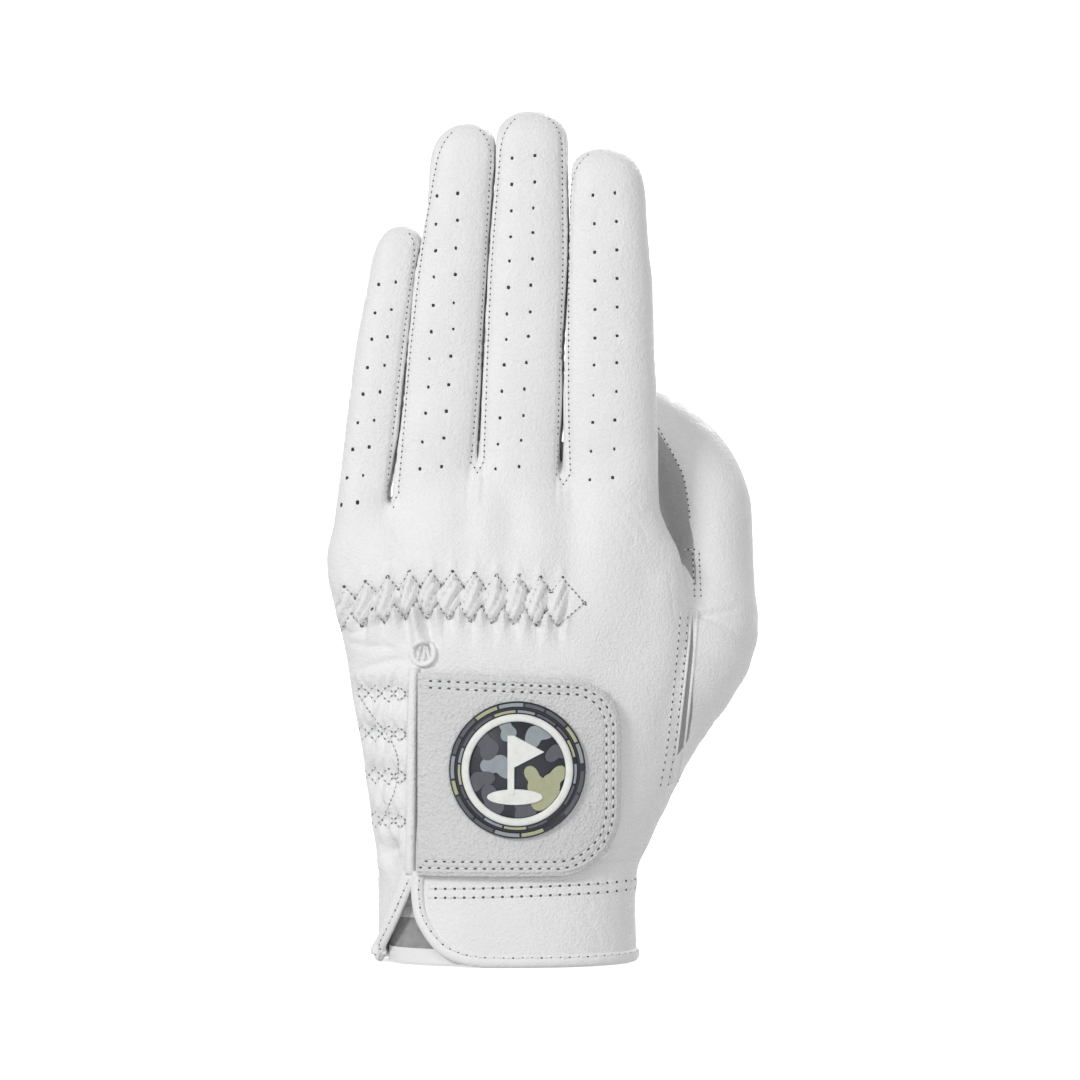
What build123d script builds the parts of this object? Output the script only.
from build123d import *

import os
from math import atan2, degrees, hypot

# A left-hand golf glove in its worn shape: a sewn leather shell with a hook-and-loop closure tab.
# Millimetres. X runs across the hand towards the thumb, Y from the back of the hand to the palm, and
# Z up from the hem to the fingertips. The origin is the centre of the wrist opening on the hem plane.

# Leather, and how far each layer stands out from the leather's outer surface
LEATHER = 0.8
OVERLAY = 0.8
HOOK_FROM = 1.1
TAB_FROM = 1.8
TAB_TO = 2.6
THREAD_FROM = 2.62
THREAD_TO = 2.9
BADGE_TO = 4.2
RELIEF_TO = 4.8
BINDING_OUT = 1.1
BINDING_IN = 1.7
RUNNING_GAP = 0.4

# Hand sections: height, little-finger edge, thumb edge, depth to the back, depth to the palm
HAND = [
    (0, -32.0, 32.0, 20.0, 20.0),
    (20, -31.4, 32.0, 19.0, 19.0),
    (75, -40.0, 44.0, 16.5, 17.5),
    (100, -43.6, 43.2, 15.0, 15.5),
    (119, -41.0, 39.5, 11.0, 11.5),
]
WEB_TOP = HAND[-1][0]
SHELL_FOOT = 1.0

# Fingers: centre at the root, centre and height of the tip, half width at root and near the tip,
# depth over width, curl of the tip towards the palm, and height of the knuckle
FINGER_ROOT = 102
FINGERS = {
    "little": dict(root=-36.6, tip=-27.6, top=183.0, wide=6.9, narrow=5.4, depth=1.08, curl=6.0, knuckle=140),
    "ring": dict(root=-19.2, tip=-10.8, top=208.5, wide=9.6, narrow=7.4, depth=0.92, curl=5.5, knuckle=150),
    "middle": dict(root=2.2, tip=6.6, top=212.0, wide=9.8, narrow=8.7, depth=0.90, curl=5.0, knuckle=152),
    "index": dict(root=26.8, tip=24.6, top=202.5, wide=11.2, narrow=9.0, depth=0.86, curl=4.5, knuckle=148),
}
CORNER_SHARE = 0.92
TIP_SHARE = 0.78
FOURCHETTE = 3.6
FOURCHETTE_STOP = 10.0
WEB_STRIP_INSET = 2
WEB_STRIP_DROP = 5
CREASE_DROP = 4.4
HINGE_INSET = 3.0

# Thumb: centre and radius of each ring along its bent path, which ring its knuckle is on, how far each
# side of the fixed end slopes back to let the tip turn, and the planes that part its back and inner side
THUMB = [
    ((27, 4, 42), 12.5),
    ((37, 8, 60), 13.5),
    ((49.5, 13.5, 80), 13.2),
    ((50.6, 17.5, 97), 12.0),
    ((50.5, 20.5, 113), 10.8),
    ((44.5, 23.0, 122), 10.4),
    ((36.0, 25.5, 130.5), 9.2),
    ((30.5, 26.7, 135.4), 6.8),
    ((28.0, 27.2, 137.6), 3.0),
]
THUMB_KNUCKLE = 4
THUMB_SLOPE = 32
THUMB_BASE_SEAM = 13.5
THUMB_TIP_SEAM = 25.0

# Slit, vent, bindings and closure, as seen from the back
SLIT_X = -21.6
SLIT_HALF = 1.0
SLIT_TOP = 74.0
VENT_TOP = 22.0
VENT_LEFT = -31.6
VENT_RIGHT = -13.0
BINDING_WIDTH = 3.0
HEM = 3.4
SEAM_GAP = 0.2
CUFF_BAND_TOP = 19.0
LOOP_CENTRE = (-20.6, 77.2)
LOOP_RADII = (3.3, 1.6)
TAB_LEFT, TAB_RIGHT = -21.9, 28.2
TAB_FOOT, TAB_HEAD = 22.5, 72.0
TAB_HEAD_CORNER, TAB_FOOT_CORNER = 12.0, 16.0
TAB_HINGE = (-22.4, -16.1)
TAB_ROOT_RADIUS = 0.8
STITCH_ROWS = [1.6, 3.2]
THREAD = 0.5
BADGE_CENTRE = (2.8, 48.7)
BADGE_RADIUS = 16.75
RING_OUTER, RING_INNER = 13.6, 11.9
HOOK_PAD = (0, 30, 23, 66)
LOOP_PAD = (-8, 28, 25, 68)
GUSSET = [(40.5, 90), (60, 90), (60, 42.5), (33.8, 42.5)]
PATCH = ((40, 0, 88), (48, 13.5, 104))
ELASTIC_HEIGHTS = [35.5, 46.5, 57.0, 67.0]
ELASTIC_HALF = 2.2

# Pieces inside the leather: the knuckle elastic behind the smocking and the tape across the palm
KNUCKLE_ELASTIC_LEFT, KNUCKLE_ELASTIC_RIGHT = -40, 20
KNUCKLE_ELASTIC_FOOT, KNUCKLE_ELASTIC_HEAD = 84, 95
TAPE_HALF = 24
TAPE_FOOT, TAPE_HEAD = 9.5, 13
INSIDE_SETBACK = 2

# Pennant on the badge, about the badge's centre: pole, flag and the mound they stand on
POLE_LEFT, POLE_RIGHT = -2.2, -1.0
PENNANT_FOOT, PENNANT_HEAD = -7, 8
FLAG_FOOT, FLAG_TIP, FLAG_REACH = 1, 4.5, 6.2
MOUND_HALF, MOUND_RISE = 5.5, 1.4

REACH = 120


def save(name, piece):
    """Labels a finished piece and writes it as its own node."""
    piece.part.label = name
    export_step(piece.part, f"parts/{name}.step")


def shape_box(low, high, mode):
    """Applies the box between two corners to the part being built."""
    with Locations(tuple((a + b) / 2 for a, b in zip(low, high))):
        Box(*[b - a for a, b in zip(low, high)], mode=mode)


def hand_form(grow):
    """The palm and wrist as one solid, with its surface raised by grow."""
    with BuildPart() as form:
        for height, left, right, back, palm in HAND:
            with BuildSketch(Plane.XY.offset(height)):
                with Locations(((left + right) / 2, (palm - back) / 2)):
                    Ellipse((right - left) / 2 + grow, (palm + back) / 2 + grow)
        loft(ruled=True)
    return form.part


def hand_layer(inside, outside):
    """The skin between two distances from the leather's surface, over the whole hand."""
    core = hand_form(inside)
    skin = hand_form(outside)
    with BuildPart() as layer:
        add(skin)
        add(core, mode=Mode.SUBTRACT)
    return layer.part


def back_prism(points):
    """A polygon seen from the back, run from the mid plane out through the back of the hand."""
    with BuildPart() as prism:
        with BuildSketch(Plane.XZ):
            with BuildLine():
                Polyline(*points, close=True)
            make_face()
        extrude(amount=REACH)
    return prism.part


def finger_plane(finger, height):
    """The plane across a finger at a height, with its origin on the finger's centre line."""
    share = (height - FINGER_ROOT) / (finger["top"] - FINGER_ROOT)
    run = (finger["tip"] - finger["root"], finger["curl"], finger["top"] - FINGER_ROOT)
    origin = (finger["root"] + run[0] * share, run[1] * share, height)
    return Plane(origin, x_dir=(run[2], 0, -run[0]), z_dir=run)


def finger_form(finger, grow):
    """A whole finger as one solid with a rounded tip, its surface raised by grow."""
    length = hypot(
        finger["tip"] - finger["root"], finger["curl"], finger["top"] - FINGER_ROOT
    )
    slope = degrees(atan2(finger["wide"] - finger["narrow"], length))
    half_depth = finger["wide"] * finger["depth"]
    round_by = min(finger["wide"], half_depth)
    with BuildPart() as form:
        with BuildSketch(finger_plane(finger, FINGER_ROOT)):
            RectangleRounded(
                2 * (finger["wide"] + grow), 2 * (half_depth + grow), CORNER_SHARE * round_by + grow
            )
        extrude(amount=length + grow, taper=slope)
        tip_face = form.faces().sort_by(Axis.Z)[-1]
        fillet(tip_face.edges(), TIP_SHARE * min(finger["narrow"], half_depth) + grow)
    return form.part


def finger_stub(finger):
    """A finger's fixed part: cut at the knuckle, and lower on the palm side to let the tip fold."""
    knuckle = finger_plane(finger, finger["knuckle"])
    form = finger_form(finger, 0)
    with BuildPart() as stub:
        add(form)
        split(bisect_by=knuckle.offset(-RUNNING_GAP / 2), keep=Keep.BOTTOM)
        with Locations(knuckle.offset(-CREASE_DROP).location):
            Box(REACH, REACH, REACH, align=(Align.CENTER, Align.MIN, Align.MIN), mode=Mode.SUBTRACT)
    return stub.part


def tip_shell(finger):
    """A finger's moving part, hollow and open at the knuckle."""
    knuckle = finger_plane(finger, finger["knuckle"])
    outer = finger_form(finger, 0)
    inner = finger_form(finger, -LEATHER)
    with BuildPart() as shell:
        add(outer)
        add(inner, mode=Mode.SUBTRACT)
        split(bisect_by=knuckle.offset(RUNNING_GAP / 2), keep=Keep.TOP)
    return shell.part


def strip_zone(finger, sides):
    """The room of a finger's side strips: a slab about its mid plane, on the given sides."""
    middle = finger_plane(finger, finger["knuckle"])
    length = (finger["top"] - finger["knuckle"]) - FOURCHETTE_STOP
    with BuildPart() as zone:
        with Locations(middle.location):
            for side in sides:
                align = (Align.MIN if side > 0 else Align.MAX, Align.CENTER, Align.MIN)
                Box(REACH, 2 * FOURCHETTE, length, align=align)
    return zone.part


def thumb_form(rings, grow):
    """A round tube along the thumb's path, each ring square to the path."""
    centres = [Vector(*centre) for centre, _ in rings]
    with BuildPart() as form:
        for i, (_, radius) in enumerate(rings):
            run = centres[min(i + 1, len(rings) - 1)] - centres[max(i - 1, 0)]
            with BuildSketch(Plane(centres[i], x_dir=(0, 1, 0), z_dir=run)):
                Circle(radius + grow)
        loft(ruled=True)
    return form.part


def rectangle_points(left, foot, right, head):
    """The four corners of an upright rectangle seen from the back."""
    return [(left, foot), (right, foot), (right, head), (left, head)]


def tab_prism(inset):
    """The closure tab's outline, inset from its free edges and run out through the back."""
    head_corner = TAB_HEAD_CORNER - inset
    foot_corner = TAB_FOOT_CORNER - inset
    right, foot, head = TAB_RIGHT - inset, TAB_FOOT + inset, TAB_HEAD - inset
    with BuildPart() as prism:
        with BuildSketch(Plane.XZ):
            with BuildLine():
                Line((TAB_LEFT, head), (TAB_LEFT, foot))
                Line((TAB_LEFT, foot), (right - foot_corner, foot))
                RadiusArc((right - foot_corner, foot), (right, foot + foot_corner), -foot_corner)
                Line((right, foot + foot_corner), (right, head - head_corner))
                RadiusArc((right, head - head_corner), (right - head_corner, head), -head_corner)
                Line((right - head_corner, head), (TAB_LEFT, head))
            make_face()
        extrude(amount=REACH)
    return prism.part


os.makedirs("parts", exist_ok=True)

# The fixed shell: palm, wrist, finger roots and the cavity that opens into the thumb
hand_out = hand_form(0)
hand_in = hand_form(-LEATHER)
thumb_out = thumb_form(THUMB, 0)
thumb_in = thumb_form(THUMB[:-1], -LEATHER)
stubs = [finger_stub(finger) for finger in FINGERS.values()]
hollows = [finger_form(finger, -LEATHER) for finger in FINGERS.values()]
with BuildPart() as cavity:
    add(hand_in)
    shape_box((-REACH, -REACH, WEB_TOP - LEATHER), (REACH, REACH, REACH), Mode.SUBTRACT)
with BuildPart() as shell:
    add(hand_out)
    for stub in stubs:
        add(stub)
    add(cavity.part, mode=Mode.SUBTRACT)
    for hollow in hollows:
        add(hollow, mode=Mode.SUBTRACT)
    add(thumb_in, mode=Mode.SUBTRACT)
    shape_box((-REACH, -REACH, -1), (REACH, REACH, SHELL_FOOT), Mode.SUBTRACT)

# The strips between the fingers, each a U from one knuckle down to the web and up to the next
names = list(FINGERS)
strip_boxes = []
for left, right in zip(names, names[1:]):
    low = (FINGERS[left]["root"] + WEB_STRIP_INSET, -FOURCHETTE, WEB_TOP - WEB_STRIP_DROP)
    high = (FINGERS[right]["root"] - WEB_STRIP_INSET, FOURCHETTE, REACH * 2)
    strip_boxes.append((low, high))
    with BuildPart() as web_strip:
        add(shell.part)
        shape_box(low, high, Mode.INTERSECT)
    save(f"web_strip_{left}_{right}", web_strip)

with BuildPart() as panels:
    add(shell.part)
    for low, high in strip_boxes:
        shape_box(low, high, Mode.SUBTRACT)
with BuildPart() as palm_leather:
    add(panels.part)
    shape_box((-REACH, 0, 0), (REACH, REACH, 2 * REACH), Mode.INTERSECT)
save("palm_leather", palm_leather)

# Back leather with its slit, keyhole and vent, and the gusset beside the thumb
slit_cut = back_prism(rectangle_points(SLIT_X - SLIT_HALF, 0, SLIT_X + SLIT_HALF, SLIT_TOP))
vent_points = [
    (VENT_LEFT, -1), (VENT_RIGHT, -1), (SLIT_X + SLIT_HALF, VENT_TOP), (SLIT_X - SLIT_HALF, VENT_TOP),
]
vent_cut = back_prism(vent_points)
gusset_zone = back_prism(GUSSET)
with BuildPart() as back_half:
    add(panels.part)
    shape_box((-REACH, -REACH, 0), (REACH, 0, 2 * REACH), Mode.INTERSECT)
with BuildPart() as back_leather:
    add(back_half.part)
    add(slit_cut, mode=Mode.SUBTRACT)
    add(vent_cut, mode=Mode.SUBTRACT)
    add(gusset_zone, mode=Mode.SUBTRACT)
    with BuildSketch(Plane.XZ):
        with Locations(LOOP_CENTRE):
            Circle(LOOP_RADII[1])
    extrude(amount=REACH, mode=Mode.SUBTRACT)
save("back_leather", back_leather)
with BuildPart() as thumb_gusset:
    add(back_half.part)
    add(gusset_zone, mode=Mode.INTERSECT)
save("thumb_gusset", thumb_gusset)

# Fingertips: back, palm and side strips, which move together
for name, finger in FINGERS.items():
    whole_tip = tip_shell(finger)
    inner_sides = {"little": [1], "index": [-1]}.get(name, [-1, 1])
    strips_room = strip_zone(finger, inner_sides)
    mid_plane = finger_plane(finger, finger["knuckle"])
    with BuildPart() as side_strips:
        add(whole_tip)
        add(strips_room, mode=Mode.INTERSECT)
    save(f"{name}_side_strips", side_strips)
    for side, align in (("back", Align.MAX), ("palm", Align.MIN)):
        with BuildPart() as tip_panel:
            add(whole_tip)
            add(strips_room, mode=Mode.SUBTRACT)
            with Locations(mid_plane.location):
                Box(REACH, REACH, 2 * REACH, align=(Align.CENTER, align, Align.CENTER), mode=Mode.INTERSECT)
        save(f"{name}_tip_{side}", tip_panel)

# Thumb: a base sewn into the hand, and a tip that bends both ways about the knuckle
knuckle_centre = Vector(*THUMB[THUMB_KNUCKLE][0])
base_run = (knuckle_centre - Vector(*THUMB[THUMB_KNUCKLE - 1][0])).normalized()
tip_run = (Vector(*THUMB[THUMB_KNUCKLE + 1][0]) - knuckle_centre).normalized()
mid_run = base_run + tip_run
hinge_line = Axis((0, 0, 0), base_run.cross(tip_run))
with BuildPart() as thumb_shell:
    add(thumb_out)
    add(thumb_in, mode=Mode.SUBTRACT)
    add(hand_out, mode=Mode.SUBTRACT)
with BuildPart() as thumb_base:
    add(thumb_shell.part)
    for turn in (THUMB_SLOPE, -THUMB_SLOPE):
        split(bisect_by=Plane(knuckle_centre, z_dir=mid_run.rotate(hinge_line, turn)), keep=Keep.BOTTOM)
with BuildPart() as thumb_tip:
    add(thumb_shell.part)
    split(bisect_by=Plane(knuckle_centre, z_dir=mid_run).offset(RUNNING_GAP), keep=Keep.TOP)
with BuildPart() as thumb_crotch_patch:
    add(thumb_base.part)
    shape_box(*PATCH, Mode.INTERSECT)
save("thumb_crotch_patch", thumb_crotch_patch)
thumb_parts = (
    ("thumb_base", thumb_base, THUMB_BASE_SEAM),
    ("thumb_tip", thumb_tip, THUMB_TIP_SEAM),
)
for name, whole, seam in thumb_parts:
    for side, y_low, y_high in (("back", -REACH, seam), ("inner", seam, REACH)):
        with BuildPart() as thumb_half:
            add(whole.part)
            add(thumb_crotch_patch.part, mode=Mode.SUBTRACT)
            shape_box((-REACH, y_low, 0), (REACH, y_high, 2 * REACH), Mode.INTERSECT)
        save(f"{name}_{side}", thumb_half)

# Overlays on the back: loop pad, cuff band, bindings and keyhole loop
overlay = hand_layer(0, OVERLAY)
binding = hand_layer(0, BINDING_OUT)
band_foot = HEM + SEAM_GAP
vent_slope = (VENT_RIGHT - SLIT_X - SLIT_HALF) / (VENT_TOP + 1)


def vent_edge(height):
    """Where the vent's thumb-side edge is at a height."""
    return SLIT_X + SLIT_HALF + vent_slope * (VENT_TOP - height)


def vent_far_edge(height):
    """Where the vent's little-finger-side edge is at a height."""
    return SLIT_X - SLIT_HALF + (VENT_LEFT - SLIT_X + SLIT_HALF) * (VENT_TOP - height) / (VENT_TOP + 1)


band_left = BINDING_WIDTH + SEAM_GAP
overlays = {
    "loop_pad": (overlay, rectangle_points(*LOOP_PAD)),
    "cuff_band": (overlay, [
        (vent_edge(band_foot) + band_left, band_foot),
        (REACH, band_foot),
        (REACH, CUFF_BAND_TOP),
        (vent_edge(CUFF_BAND_TOP) + band_left, CUFF_BAND_TOP),
    ]),
    "slit_binding_right": (binding, [
        (vent_edge(band_foot), band_foot),
        (vent_edge(band_foot) + BINDING_WIDTH, band_foot),
        (vent_edge(VENT_TOP) + BINDING_WIDTH, VENT_TOP),
        (vent_edge(VENT_TOP), VENT_TOP),
    ]),
    "slit_binding_left": (binding, [
        (vent_far_edge(band_foot) - BINDING_WIDTH, band_foot),
        (vent_far_edge(band_foot), band_foot),
        (SLIT_X - SLIT_HALF, VENT_TOP),
        (SLIT_X - SLIT_HALF, SLIT_TOP),
        (SLIT_X - SLIT_HALF - BINDING_WIDTH, SLIT_TOP),
        (SLIT_X - SLIT_HALF - BINDING_WIDTH, VENT_TOP),
    ]),
}
for name, (layer, points) in overlays.items():
    prism = back_prism(points)
    with BuildPart() as overlay_piece:
        add(layer)
        add(prism, mode=Mode.INTERSECT)
    save(name, overlay_piece)
with BuildPart() as keyhole_loop:
    add(binding)
    with BuildSketch(Plane.XZ):
        with Locations(LOOP_CENTRE):
            Circle(LOOP_RADII[0])
            Circle(LOOP_RADII[1], mode=Mode.SUBTRACT)
    extrude(amount=REACH, mode=Mode.INTERSECT)
    shape_box((-REACH, -REACH, 0), (REACH, 0, SLIT_TOP + SEAM_GAP), Mode.SUBTRACT)
save("keyhole_loop", keyhole_loop)

# Hem binding, folded over the leather's lower edge and open at the vent
hem_layer = hand_layer(-BINDING_IN, BINDING_OUT)
leather_layer = hand_layer(-LEATHER, 0)
with BuildPart() as covered:
    add(leather_layer)
    shape_box((-REACH, -REACH, SHELL_FOOT), (REACH, REACH, REACH), Mode.INTERSECT)
with BuildPart() as hem_binding:
    add(hem_layer)
    shape_box((-REACH, -REACH, 0), (REACH, REACH, HEM), Mode.INTERSECT)
    add(vent_cut, mode=Mode.SUBTRACT)
    add(covered.part, mode=Mode.SUBTRACT)
save("hem_binding", hem_binding)

# Inside: shirring elastic at the wrist, gathering elastic over the knuckles, and the palm tape
lining = hand_layer(-2 * LEATHER, -LEATHER)
elastic_edge = SLIT_X - SLIT_HALF - SEAM_GAP
with BuildPart() as elastic_rows:
    for height in ELASTIC_HEIGHTS:
        row_foot = (-REACH, -REACH, height - ELASTIC_HALF)
        shape_box(row_foot, (elastic_edge, 0, height + ELASTIC_HALF), Mode.ADD)
with BuildPart() as wrist_elastics:
    add(lining)
    add(elastic_rows.part, mode=Mode.INTERSECT)
save("wrist_elastics", wrist_elastics)
knuckle_foot = (KNUCKLE_ELASTIC_LEFT, -REACH, KNUCKLE_ELASTIC_FOOT)
knuckle_head = (KNUCKLE_ELASTIC_RIGHT, -INSIDE_SETBACK, KNUCKLE_ELASTIC_HEAD)
tape_foot = (-TAPE_HALF, INSIDE_SETBACK, TAPE_FOOT)
tape_head = (TAPE_HALF, REACH, TAPE_HEAD)
for name, low, high in (
    ("knuckle_elastic", knuckle_foot, knuckle_head),
    ("palm_tape", tape_foot, tape_head),
):
    with BuildPart() as lining_piece:
        add(lining)
        shape_box(low, high, Mode.INTERSECT)
    save(name, lining_piece)

# Closure tab with its rolled root on the hinge line, hook pad, stitching and moulded badge
tab_outline = tab_prism(0)
tab_skin = hand_layer(TAB_FROM, TAB_TO)
with BuildPart() as closure_tab:
    add(tab_skin)
    add(tab_outline, mode=Mode.INTERSECT)
    with Locations((*TAB_HINGE, (TAB_FOOT + TAB_HEAD) / 2)):
        Cylinder(TAB_ROOT_RADIUS, TAB_HEAD - TAB_FOOT)
save("closure_tab", closure_tab)
hook_layer = hand_layer(HOOK_FROM, TAB_FROM)
hook_prism = back_prism(rectangle_points(*HOOK_PAD))
with BuildPart() as hook_pad:
    add(hook_layer)
    add(hook_prism, mode=Mode.INTERSECT)
save("hook_pad", hook_pad)

thread_layer = hand_layer(THREAD_FROM, THREAD_TO)
badge_layer = hand_layer(TAB_TO, BADGE_TO)
thread_edges = [(tab_prism(row), tab_prism(row + THREAD)) for row in STITCH_ROWS]
thread_start = TAB_HINGE[0] + TAB_ROOT_RADIUS + SEAM_GAP
with BuildPart() as badge_base:
    add(badge_layer)
    with BuildSketch(Plane.XZ):
        with Locations(BADGE_CENTRE):
            Circle(BADGE_RADIUS)
    extrude(amount=REACH, mode=Mode.INTERSECT)
save("badge_base", badge_base)
for row, (edge, inside) in enumerate(thread_edges, 1):
    with BuildPart() as tab_thread:
        add(thread_layer)
        add(edge, mode=Mode.INTERSECT)
        add(inside, mode=Mode.SUBTRACT)
        shape_box((-REACH, -REACH, 0), (thread_start, REACH, REACH), Mode.SUBTRACT)
    save(f"tab_thread_{row}", tab_thread)

# Badge relief: a ring round a plain pennant standing on a mound
relief_layer = hand_layer(BADGE_TO, RELIEF_TO)
with BuildPart() as badge_ring:
    add(relief_layer)
    with BuildSketch(Plane.XZ):
        with Locations(BADGE_CENTRE):
            Circle(RING_OUTER)
            Circle(RING_INNER, mode=Mode.SUBTRACT)
    extrude(amount=REACH, mode=Mode.INTERSECT)
save("badge_ring", badge_ring)
pennant_points = [
    (POLE_LEFT, PENNANT_FOOT), (POLE_RIGHT, PENNANT_FOOT), (POLE_RIGHT, FLAG_FOOT),
    (FLAG_REACH, FLAG_TIP), (POLE_RIGHT, PENNANT_HEAD), (POLE_LEFT, PENNANT_HEAD),
]
with BuildPart() as badge_pennant:
    add(relief_layer)
    with BuildSketch(Plane.XZ):
        with Locations(BADGE_CENTRE):
            Polygon(*pennant_points, align=None)
        with Locations((BADGE_CENTRE[0], BADGE_CENTRE[1] + PENNANT_FOOT)):
            Ellipse(MOUND_HALF, MOUND_RISE)
    extrude(amount=REACH, mode=Mode.INTERSECT)
save("badge_pennant", badge_pennant)
